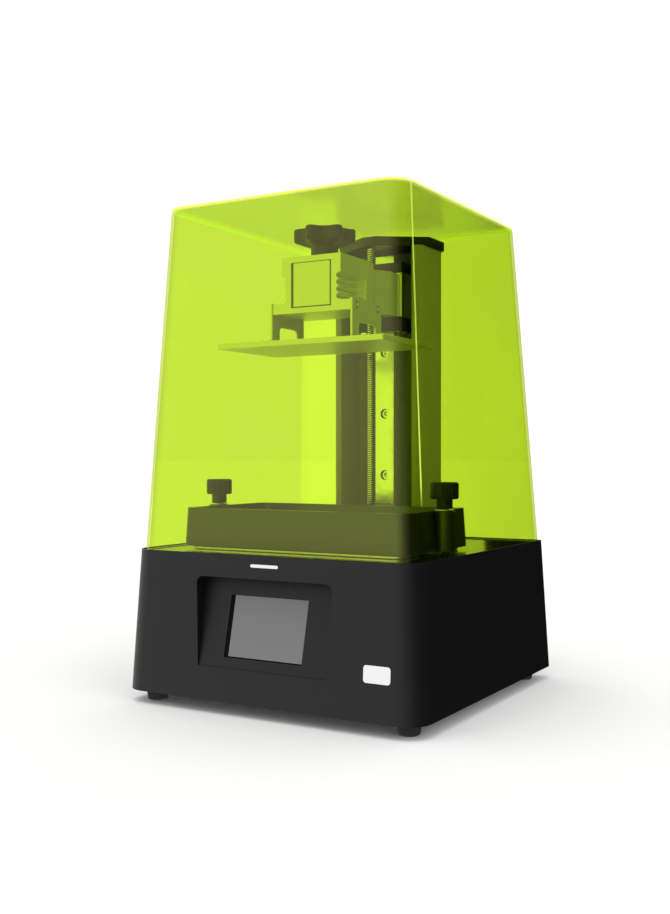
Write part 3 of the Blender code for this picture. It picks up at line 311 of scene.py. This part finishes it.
# Darker steel on the thread's flanks and roots; only the crests take the bright steel.
THREAD_ROOT = solid_finish(
    "darker thread flanks and roots", (0.10, 0.10, 0.10), 0.35, 0.9, grain=2400, grain_height=0.00001, spread=0.1)
LIME, DEEP_LIME = (0.885, 0.975, 0.380), (0.795, 0.875, 0.440)
PANE = clear_finish("clear lime plastic, outside", LIME, DEEP_LIME, 0.068, (1.0, 0.97, 0.42), 0.20)
PANE_INSIDE = clear_finish("clear lime plastic, inside", LIME, DEEP_LIME)
NODE_FINISHES["lcd_panel"] = LCD_GLASS
# Painted glow: the cover's cut edges emit, standing in for the light that the fluorescent walls let out
# there.
PANE_EDGE_PAINTED_GLOW = painted_glow("painted glow on lime edges", (0.93, 0.98, 0.25), (0.74, 1.0, 0.05), 0.62, 0.60)
# Painted glint: an emitting strip up each front corner of the cover stands in for a highlight caught there.
PAINTED_GLINT = painted_glow(
    "painted glint in a corner", (0.93, 0.98, 0.40), (0.74, 0.95, 0.10), PAINTED_GLINT_SHARES, 0.28)


# ---- Mesh tools ---------------------------------------------------------------------------------
def arc(centre, radius, start, end, steps):
    """Points on an arc in a plane, angles in degrees, both ends included."""
    angles = [math.radians(start + (end - start) * i / steps) for i in range(steps + 1)]
    return [(centre[0] + radius * math.cos(a), centre[1] + radius * math.sin(a)) for a in angles]


def add_piece(name, mesh_data, finishes, body, slot, sharp=35, *replaced):
    """A piece from a bmesh in the row frame, riding on a CAD body."""
    bmesh.ops.recalc_face_normals(mesh_data, faces=mesh_data.faces)
    mesh = bpy.data.meshes.new(name)
    mesh_data.to_mesh(mesh)
    mesh_data.free()
    mesh.shade_smooth()
    mesh.set_sharp_from_angle(angle=math.radians(sharp))
    for finish in finishes:
        mesh.materials.append(finish)
    made = bpy.data.objects.new(name, mesh)
    SCENE.collection.objects.link(made)
    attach(made, body)
    if replaced:
        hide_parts(*replaced)
    return made


def skin(mesh_data, rings, material=0, caps=(True, True)):
    """Adds the faces through rings of equally many points, and the vertices of the rings."""
    loops = [[mesh_data.verts.new(point) for point in ring] for ring in rings]
    for low, high in zip(loops, loops[1:]):
        for i in range(len(low)):
            j = (i + 1) % len(low)
            mesh_data.faces.new((low[i], low[j], high[j], high[i])).material_index = material
    for loop, wanted in ((loops[0], caps[0]), (loops[-1], caps[1])):
        if wanted:
            mesh_data.faces.new(loop).material_index = material
    return loops


# ---- Finishes and softened edges on the CAD nodes -----------------------------------------------
EDGE_WIDTHS = {"vat_body": 0.0009, "base_shell": 0.0006, "column": 0.0005, "platform_clamp": 0.0007,
               "z_arm": 0.0005, "column_cap": 0.0006, "rail_carriage": 0.0004}
PLAIN_EDGES = ("lead_screw", "release_film", "uv_led_board", "mainboard")
EDGE_WIDTH, EDGE_ANGLE = 0.0003, math.radians(38)


def soften(node, width):
    """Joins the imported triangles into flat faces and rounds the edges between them; no vertex is moved."""
    mesh = node.data
    if mesh.attributes.get("custom_normal"):
        mesh.attributes.remove(mesh.attributes["custom_normal"])
    mesh.shade_smooth()
    if mesh.attributes.get("sharp_edge"):
        mesh.attributes.remove(mesh.attributes["sharp_edge"])
    weld = node.modifiers.new("weld", "WELD")
    weld.merge_threshold = 2e-6
    flat = node.modifiers.new("flat faces", "DECIMATE")
    flat.decimate_type = "DISSOLVE"
    flat.angle_limit = math.radians(0.4)
    if width:
        bevel = node.modifiers.new("softened edges", "BEVEL")
        bevel.width, bevel.segments = width, 2
        bevel.limit_method, bevel.angle_limit = "ANGLE", EDGE_ANGLE
        bevel.miter_outer = "MITER_ARC"
    shade = node.modifiers.new("even shading", "WEIGHTED_NORMAL")
    shade.mode, shade.weight, shade.keep_sharp = "FACE_AREA_WITH_ANGLE", 80, False


for node_name, cad_node in NODES.items():
    slot_name = cad_node.material_slots[0].material.name
    cad_node.material_slots[0].material = NODE_FINISHES.get(node_name) or FINISHES.get(slot_name)
    if node_name != "cover":
        soften(cad_node, 0 if node_name in PLAIN_EDGES else EDGE_WIDTHS.get(node_name, EDGE_WIDTH))


# ---- Cover --------------------------------------------------------------------------------------
# The line slot holds the painted glint up the front corners, and the edge slot holds the painted glow of the
# cut edges.
PANE_SLOTS = {"outside": 0, "edge": 1, "inside": 2, "line": 3}
CORNER_REACH = 0.015  # how far out from a corner's centre the painted glint starts
TOP_RIM = 0.985  # the top's flat middle starts this share of the way out
SMALLEST_CORNER = 0.0008


def cover_ring(half, z, inset, corner_steps=18):
    """A square with rounded corners, wider ones at the front."""
    front, rear = max(FRONT_CORNER - inset, SMALLEST_CORNER), max(REAR_CORNER - inset, SMALLEST_CORNER)
    points = []
    for sign_x, sign_y, radius, start in (
        (1, 1, rear, 0), (-1, 1, rear, 90), (-1, -1, front, 180), (1, -1, front, 270),
    ):
        corner = (sign_x * (half - radius), sign_y * (half - radius))
        points += arc(corner, radius, start, start + 90, corner_steps)
    return [Vector((x, y, z)) for x, y in points]


def build_cover():
    low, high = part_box("cover")
    half_low, half_high = high.x, COVER_TOP_HALF

    def half_at(z):
        return half_low + (half_high - half_low) * (z - low.z) / (high.z - low.z)

    def in_painted_glint(face):
        """Whether an outer face lies in the narrow strip of a front corner where the painted glint shows."""
        middle = face.calc_center_median()
        out_x, out_y = (abs(v) - half_at(middle.z) + FRONT_CORNER for v in (middle.x, middle.y))
        turned = math.degrees(math.atan2(out_y, out_x))
        return middle.y < 0 and out_x > CORNER_REACH and PAINTED_GLINT_TURNS[0] < turned < PAINTED_GLINT_TURNS[1]

    made = bmesh.new()
    quarter_turn = [math.radians(15 * step) for step in range(7)]
    fillet_low, foot_high = high.z - COVER_EDGE, low.z + COVER_FOOT
    outer = [cover_ring(half_low - COVER_FOOT, low.z, COVER_FOOT),
             cover_ring(half_at(foot_high), foot_high, 0),
             cover_ring(half_at(fillet_low), fillet_low, 0)]
    edge = []
    for angle in quarter_turn:
        inset = COVER_EDGE * (1 - math.cos(angle))
        edge.append(cover_ring(half_at(fillet_low) - inset, fillet_low + COVER_EDGE * math.sin(angle), inset))
    inner_edge, inner_top = COVER_EDGE * 0.5, high.z - COVER_WALL
    inner = [cover_ring(half_at(low.z) - COVER_WALL, low.z, COVER_WALL)]
    for angle in quarter_turn:
        inset = COVER_WALL + inner_edge * (1 - math.cos(angle))
        z = inner_top - inner_edge * (1 - math.sin(angle))
        inner.append(cover_ring(half_at(inner_top) - inset, z, inset))

    outer_loops = skin(made, outer, caps=(False, False))
    skin(made, edge, material=PANE_SLOTS["edge"], caps=(False, False))
    top_rim = [Vector((p.x * TOP_RIM, p.y * TOP_RIM, p.z)) for p in edge[-1]]
    skin(made, [edge[-1], top_rim], caps=(False, True))
    inner_loops = skin(made, inner, material=PANE_SLOTS["inside"], caps=(False, True))
    outer_foot, inner_foot = outer_loops[0], inner_loops[0]
    for i in range(len(outer_foot)):
        j = (i + 1) % len(outer_foot)
        foot_face = made.faces.new((outer_foot[i], outer_foot[j], inner_foot[j], inner_foot[i]))
        foot_face.material_index = PANE_SLOTS["edge"]
    bmesh.ops.remove_doubles(made, verts=made.verts, dist=1e-6)
    # Outer faces in that strip take the painted glint's emitting finish.
    for face in made.faces:
        if face.material_index == PANE_SLOTS["outside"] and in_painted_glint(face):
            face.material_index = PANE_SLOTS["line"]
    for vertex in made.verts:
        vertex.co.y -= COVER_FORWARD * (vertex.co.z - low.z) / (high.z - low.z)
    finishes = [PANE, PANE_EDGE_PAINTED_GLOW, PANE_INSIDE, PAINTED_GLINT]
    return add_piece("lime_cover", made, finishes, "cover", "lime_cover_plastic", 40, "cover")


build_cover()


# ---- Lead screw ---------------------------------------------------------------------------------
def build_lead_screw(columns=24):
    """A trapezoidal thread with two starts, as one helical skin."""
    low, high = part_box("lead_screw")
    axis_x, axis_y = (low.x + high.x) / 2, (low.y + high.y) / 2
    crest = (high.x - low.x) / 2
    root, lead = crest - THREAD_DEPTH, THREAD_PITCH * THREAD_STARTS
    profile = ((0.0, root), (0.30, root), (0.45, crest), (0.85, crest))  # share of a pitch, radius
    crest_face = 2  # the face of the profile that runs along the crest
    turns = int((high.z - low.z) / THREAD_PITCH) + THREAD_STARTS + 2
    made = bmesh.new()
    grid = []
    for column in range(columns + 1):
        angle = 2 * math.pi * column / columns
        rise = lead * column / columns - lead
        points = []
        for turn_number in range(turns):
            for share, radius in profile:
                z = low.z + (turn_number + share) * THREAD_PITCH + rise
                if z < low.z or z > high.z:
                    z, radius = min(max(z, low.z), high.z), root
                x, y = axis_x + radius * math.cos(angle), axis_y + radius * math.sin(angle)
                points.append(made.verts.new((x, y, z)))
        grid.append(points)
    for left, right in zip(grid, grid[1:]):
        for i in range(len(left) - 1):
            face = made.faces.new((left[i], right[i], right[i + 1], left[i + 1]))
            face.material_index = int(i % len(profile) != crest_face)
    bmesh.ops.remove_doubles(made, verts=made.verts, dist=2e-6)
    bmesh.ops.dissolve_degenerate(made, edges=made.edges, dist=1e-6)
    bmesh.ops.holes_fill(made, edges=[edge for edge in made.edges if edge.is_boundary], sides=columns + 4)
    return add_piece("threaded_lead_screw", made, [FINISHES["bright_steel"], THREAD_ROOT], "screw",
                     "bright_steel", 25, "lead_screw")


build_lead_screw()


# ---- Build platform -----------------------------------------------------------------------------
def build_platform():
    """The plate with rows of small pits in its underside, which a print grips."""
    low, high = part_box("build_platform")
    across = int((high.x - low.x - 2 * PIT_MARGIN) / PIT_PITCH)
    deep = int((high.y - low.y - 2 * PIT_MARGIN) / PIT_PITCH)
    centre = (low + high) / 2
    start = Vector((centre.x - across * PIT_PITCH / 2, centre.y - deep * PIT_PITCH / 2, low.z))
    made = bmesh.new()
    corners = [[made.verts.new(start + Vector((i * PIT_PITCH, j * PIT_PITCH, 0))) for j in range(deep + 1)]
               for i in range(across + 1)]
    for i in range(across):
        for j in range(deep):
            middle = start + Vector(((i + 0.5) * PIT_PITCH, (j + 0.5) * PIT_PITCH, 0))
            rim = [made.verts.new(middle + PIT_RADIUS * Vector((math.cos(a), math.sin(a), 0)))
                   for a in (math.radians(45 * step) for step in range(8))]
            bottom = made.verts.new(middle + Vector((0, 0, PIT_DEPTH)))
            cell = [corners[i + 1][j + 1], corners[i][j + 1], corners[i][j], corners[i + 1][j]]
            for side in range(4):
                # The side between two corners of the cell meets the three rim points that face it.
                first, second = cell[side], cell[(side + 1) % 4]
                a, b, c = (rim[(2 * side + step) % 8] for step in (1, 2, 3))
                made.faces.new((first, second, c, b, a))
            for step in range(8):
                made.faces.new((rim[step], rim[(step + 1) % 8], bottom))
    outline = []
    for sign_x, sign_y, angle in ((1, 1, 0), (-1, 1, 90), (-1, -1, 180), (1, -1, 270)):
        corner = (centre.x + sign_x * ((high.x - low.x) / 2 - PLATFORM_CORNER),
                  centre.y + sign_y * ((high.y - low.y) / 2 - PLATFORM_CORNER))
        outline.append(arc(corner, PLATFORM_CORNER, angle, angle + 90, 4))
    rings = [[made.verts.new((x, y, z)) for side in outline for x, y in side] for z in (low.z, high.z)]
    made.faces.new(rings[1])
    for i in range(len(rings[0])):
        j = (i + 1) % len(rings[0])
        made.faces.new((rings[0][i], rings[0][j], rings[1][j], rings[1][i]))
    # Each side of the pitted field joins the outline from one corner's middle to the next one's.
    quarter, ring = len(outline[0]), rings[0]
    inner_sides = (
        [corners[i][deep] for i in range(across, -1, -1)], [corners[0][j] for j in range(deep, -1, -1)],
        [corners[i][0] for i in range(across + 1)], [corners[across][j] for j in range(deep + 1)],
    )
    for side, inner in enumerate(inner_sides):
        begin = ring[quarter * side + quarter // 2:quarter * (side + 1)]
        end = ring[quarter * ((side + 1) % 4):][:quarter // 2 + 1]
        made.faces.new(begin + end + inner[::-1])
    plate = add_piece("pitted_build_platform", made, [FINISHES["sandblasted_aluminium"]], "platform",
                      "sandblasted_aluminium", 20, "build_platform")
    bevel = plate.modifiers.new("softened edges", "BEVEL")
    bevel.width, bevel.segments = PLATFORM_EDGE, 2
    bevel.limit_method, bevel.angle_limit = "ANGLE", math.radians(60)
    return plate


build_platform()


# ---- Small fasteners: screws too small for the CAD model to hold as parts of their own ----------
SIDES = ((-1, "left"), (1, "right"))
HEAD_ROUNDING, SOCKET_RIM = (0, 20, 38, 52), 62  # degrees up the dome of a head
# How far a head sits in, and how far the black ring of painted shade round some heads sits in and stands out.
HEAD_SUNK, PAINTED_SHADE_SUNK, PAINTED_SHADE_LIFT = 0.0002, 0.0001, 0.00012
# The radius and height of each kind's head.
BRACKET_SCREW, CARRIAGE_SCREW, FAN_SCREW = (0.0027, 0.0009), (0.0018, 0.0010), (0.0028, 0.0010)
PLATE_SCREW, COLUMN_SCREW = (0.0026, 0.0009), (0.0030, 0.0012)


def socket_screw(name, place, facing, size, body, painted_shade_ring=0.0):
    """A button-head screw with a hexagon socket, on the surface at place.

    The last argument is how far a thin black ring of painted shade, standing in for the shaded edge of its
    hole, shows around the head.
    """
    made = bmesh.new()
    radius, height = size
    sides, depth, socket = 24, height * 0.7, radius * 0.48

    def ring(size, z):
        angles = [2 * math.pi * i / sides for i in range(sides)]
        return [Vector((size * math.cos(a), size * math.sin(a), z)) for a in angles]

    def hexagon(size, z):
        points = []
        for i in range(sides):
            angle = 2 * math.pi * i / sides
            flat = size * math.cos(math.pi / 6) / math.cos((angle % (math.pi / 3)) - math.pi / 6)
            points.append(Vector((flat * math.cos(angle), flat * math.sin(angle), z)))
        return points

    dome = [ring(radius * math.cos(math.radians(a)), height * math.sin(math.radians(a)))
            for a in HEAD_ROUNDING]
    rim = height * math.sin(math.radians(SOCKET_RIM))
    skin(made, [ring(radius, -HEAD_SUNK), *dome, hexagon(socket, rim), hexagon(socket, rim - depth)])
    # Painted shade: a thin black ring round the head for the shaded edge of its hole.
    if painted_shade_ring:
        edge = radius + painted_shade_ring
        skin(made, [ring(edge, -PAINTED_SHADE_SUNK), ring(edge, PAINTED_SHADE_LIFT), ring(radius * 0.9, PAINTED_SHADE_LIFT)], material=1)
    turn = Vector((0, 0, 1)).rotation_difference(Vector(facing)).to_matrix().to_4x4()
    made.transform(Matrix.Translation(place) @ turn)
    finishes = [FINISHES["bright_steel"], FINISHES["black_rubber"]]
    return add_piece(name, made, finishes, body, "bright_steel", 30)


def base_front(z):
    """How far forward the base's front face is at a height; its rear face mirrors it."""
    low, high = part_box("base_shell")
    return -BASE_HALF_LOW + (BASE_HALF_LOW - BASE_HALF_HIGH) * (z - low.z) / (high.z - low.z)


def bracket_screws():
    """Two on the outer side of each bracket's upright plate."""
    low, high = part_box("bracket_right")
    drop, inset = 0.0055, 0.0075
    for side, where in SIDES:
        for row, y in (("front", low.y + inset), ("rear", high.y - inset)):
            place = Vector((side * (low.x + BRACKET_SHEET), y, high.z - drop))
            socket_screw(f"bracket_screw_{row}_{where}", place, (side, 0, 0), BRACKET_SCREW, "platform",
                         painted_shade_ring=0.0006)


def carriage_cap_screws():
    """Two on each side of the upper cap's top and of the lower cap's underside."""
    low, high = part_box("carriage_cap_upper")
    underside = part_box("carriage_cap_lower")[0].z
    inset, front_inset, rear_inset = 0.006, 0.005, 0.006
    for side, where in SIDES:
        x = side * (high.x - inset)
        for number, y in ((1, low.y + front_inset), (2, high.y - rear_inset)):
            for cap, z, up in (("upper", high.z, 1), ("lower", underside, -1)):
                place = Vector((x, y, z))
                socket_screw(f"{cap}_cap_screw_{where}_{number}", place, (0, 0, up), CARRIAGE_SCREW,
                             "carriage")


def fan_screws():
    """Four round the fan's grille, square to the leaning rear face."""
    low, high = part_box("fan_frame")
    shell_low, shell_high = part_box("base_shell")
    lean = (BASE_HALF_LOW - BASE_HALF_HIGH) / (shell_high.z - shell_low.z)
    for side_x, where in SIDES:
        for side_z, row in ((-1, "lower"), (1, "upper")):
            x = (low.x + high.x) / 2 + side_x * FAN_SCREW_SPACING / 2
            z = (low.z + high.z) / 2 + side_z * FAN_SCREW_SPACING / 2
            place = Vector((x, -base_front(z), z))
            socket_screw(f"fan_screw_{row}_{where}", place, (0, 1, lean), FAN_SCREW, "base")


def bottom_plate_screws():
    low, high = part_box("bottom_plate")
    screw_x, inset = 0.100, 0.006
    for side_x, where in SIDES:
        for side_y, row in ((-1, "front"), (1, "rear")):
            place = Vector((side_x * screw_x, side_y * (high.y - inset), low.z))
            socket_screw(f"plate_screw_{row}_{where}", place, (0, 0, -1), PLATE_SCREW, "base")


def column_cap_screws():
    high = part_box("column_cap")[1]
    screw_x, inset = 0.040, 0.012
    for side, where in SIDES:
        place = Vector((side * screw_x, high.y - inset, high.z))
        socket_screw(f"column_cap_screw_{where}", place, (0, 0, 1), COLUMN_SCREW, "base")


bracket_screws()
carriage_cap_screws()
fan_screws()
bottom_plate_screws()
column_cap_screws()


# ---- Touch screen and blank printed marks -------------------------------------------------------
def build_screen():
    """The screen's glass with a black strip of painted shade for its window's shaded recess, wide at the left
    and thin below.
    """
    node = NODES["touch_screen"]
    low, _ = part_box("touch_screen")
    made = bmesh.new()
    made.from_mesh(node.data)
    made.transform(node.matrix_world)
    bmesh.ops.remove_doubles(made, verts=made.verts, dist=2e-6)
    bmesh.ops.dissolve_limit(made, angle_limit=math.radians(0.4), verts=made.verts, edges=made.edges)
    inner_x, inner_z = low.x + SCREEN_SHADE_LEFT, low.z + SCREEN_SHADE_LOW
    for place, normal in (((inner_x, 0, 0), (1, 0, 0)), ((0, 0, inner_z), (0, 0, 1))):
        everything = [*made.verts, *made.edges, *made.faces]
        bmesh.ops.bisect_plane(made, geom=everything, plane_co=place, plane_no=normal)
    for face in made.faces:
        middle = face.calc_center_median()
        face.material_index = int(middle.x < inner_x or middle.z < inner_z)
    add_piece("touch_screen_glass", made, [FINISHES["grey_screen_glass"], SCREEN_PAINTED_SHADE], "base",
              "grey_screen_glass", 35, "touch_screen")


def blank_mark(name, x, z, size, radius):
    """A thin plate of white print with rounded corners, blank, flat on the base's front face."""
    outline = []
    for sign_x, sign_z, start in ((1, 1, 0), (-1, 1, 90), (-1, -1, 180), (1, -1, 270)):
        corner = (x + sign_x * (size[0] / 2 - radius), z + sign_z * (size[1] / 2 - radius))
        outline += arc(corner, radius, start, start + 90, 6)
    made = bmesh.new()
    back, front = ([Vector((px, base_front(pz) + y, pz)) for px, pz in outline] for y in PRINT_DEPTHS)
    skin(made, [back, front])
    add_piece(name, made, [FINISHES["white_board"]], "base", "white_board", 35)


build_screen()
shell_low, shell_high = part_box("base_shell")
blank_mark("blank_name_mark", NAME_MARK_X, shell_high.z - NAME_MARK_DROP, NAME_MARK_SIZE, NAME_MARK_CORNER)
blank_mark("blank_badge", BADGE_X, shell_low.z + BADGE_RISE, BADGE_SIZE, BADGE_CORNER)


# ---- Stage, lights and camera -------------------------------------------------------------------
WORLD_STRENGTH = 1.06
FLOOR_ALBEDO = 0.84  # under the softboxes the floor is a little brighter than the white surroundings
FADE_START, FADE_END, FADE_STEPS = 8, 62, 9  # azimuths in degrees between which the backdrop gets dark
DARK_END, DARK_ALBEDO = 200, 0.002


def direction(azimuth, elevation=0.0):
    """A direction from the middle outwards: azimuth 0 is the front, 90 the printer's right."""
    a, e = math.radians(azimuth), math.radians(elevation)
    return Vector((math.sin(a) * math.cos(e), -math.cos(a) * math.cos(e), math.sin(e)))


def only_for_reflections(obj):
    obj.visible_camera = obj.visible_diffuse = obj.visible_transmission = False
    obj.visible_shadow = obj.visible_volume_scatter = False
    obj.visible_glossy = True


def stage_material(name, albedo, roughness):
    shading = Shading(name)
    grey = (albedo,) * 3
    tone = shading.blend(shading.noise(3, 2.0), grey, scaled(grey, 0.99))
    surface = shading.add("BsdfPrincipled", {
        "Base Color": tone, "Roughness": roughness, "Specular IOR Level": 0.1})
    return shading.finish(surface.outputs["BSDF"])


def build_floor():
    made = bmesh.new()
    bmesh.ops.create_circle(made, cap_ends=True, segments=96, radius=40.0)
    mesh = bpy.data.meshes.new("floor")
    made.to_mesh(mesh)
    made.free()
    mesh.materials.append(stage_material("pale studio floor", FLOOR_ALBEDO, 0.9))
    floor = bpy.data.objects.new("floor", mesh)
    floor.location.z = cad_bounds[0].z
    SCENE.collection.objects.link(floor)
    floor.visible_diffuse = floor.visible_glossy = False


def build_wall(name, start, end, albedo, radius=2.6, low=-2.4, high=2.6):
    """A curved upright studio wall that only reflections see, from one azimuth to another."""
    made = bmesh.new()
    steps = max(2, int((end - start) / 5))
    columns = [direction(start + (end - start) * i / steps) * radius for i in range(steps + 1)]
    loops = [[made.verts.new((p.x, p.y, z)) for p in columns] for z in (low, high)]
    for i in range(steps):
        made.faces.new((loops[0][i], loops[0][i + 1], loops[1][i + 1], loops[1][i]))
    mesh = bpy.data.meshes.new(name)
    made.to_mesh(mesh)
    made.free()
    mesh.materials.append(stage_material(name, albedo, 1.0))
    wall = bpy.data.objects.new(name, mesh)
    SCENE.collection.objects.link(wall)
    only_for_reflections(wall)


def soft_light(name, azimuth, elevation, spread, brightness):
    """A far softbox, spread degrees wide. White card facing it reaches that brightness."""
    light = bpy.data.lights.new(name, "SUN")
    light.angle, light.energy = math.radians(spread), math.pi * brightness
    lamp = bpy.data.objects.new(name, light)
    lamp.location = direction(azimuth, elevation) * 3
    lamp.rotation_euler = direction(azimuth, elevation).to_track_quat("Z", "Y").to_euler()
    lamp.visible_camera = lamp.visible_glossy = False
    SCENE.collection.objects.link(lamp)


def build_studio():
    """White surroundings, a pale floor, two softboxes, and a backdrop that fades from white to dark."""
    build_floor()
    width = (FADE_END - FADE_START) / FADE_STEPS
    for step in range(FADE_STEPS):
        start = FADE_START + step * width
        build_wall(f"backdrop_fade_{step + 1}", start, start + width, 1 - (step + 1) / (FADE_STEPS + 1))
    build_wall("backdrop_dark", FADE_END, DARK_END, DARK_ALBEDO)
    soft_light("softbox_top", -20, 72, 40, 0.20)
    soft_light("softbox_right", 70, 15, 50, 0.30)
    world = bpy.data.worlds.new("white studio")
    world.use_nodes = True
    background = world.node_tree.nodes["Background"]
    background.inputs["Color"].default_value = (1, 1, 1, 1)
    background.inputs["Strength"].default_value = WORLD_STRENGTH
    world.cycles.sampling_method = "NONE"
    SCENE.world = world
    SCENE.view_settings.view_transform = "Standard"


def build_camera():
    lens = bpy.data.cameras.new("camera")
    lens.sensor_fit, lens.sensor_height, lens.sensor_width = "VERTICAL", SENSOR, SENSOR
    lens.lens = CAMERA_LENS
    lens.shift_x, lens.shift_y = CAMERA_SHIFT
    lens.clip_end = 200
    camera = bpy.data.objects.new("camera", lens)
    camera.location = CAMERA_PLACE
    camera.rotation_euler = (math.radians(90 - CAMERA_DIP), 0, math.radians(CAMERA_AZIMUTH))
    SCENE.collection.objects.link(camera)
    SCENE.camera = camera


build_studio()
build_camera()
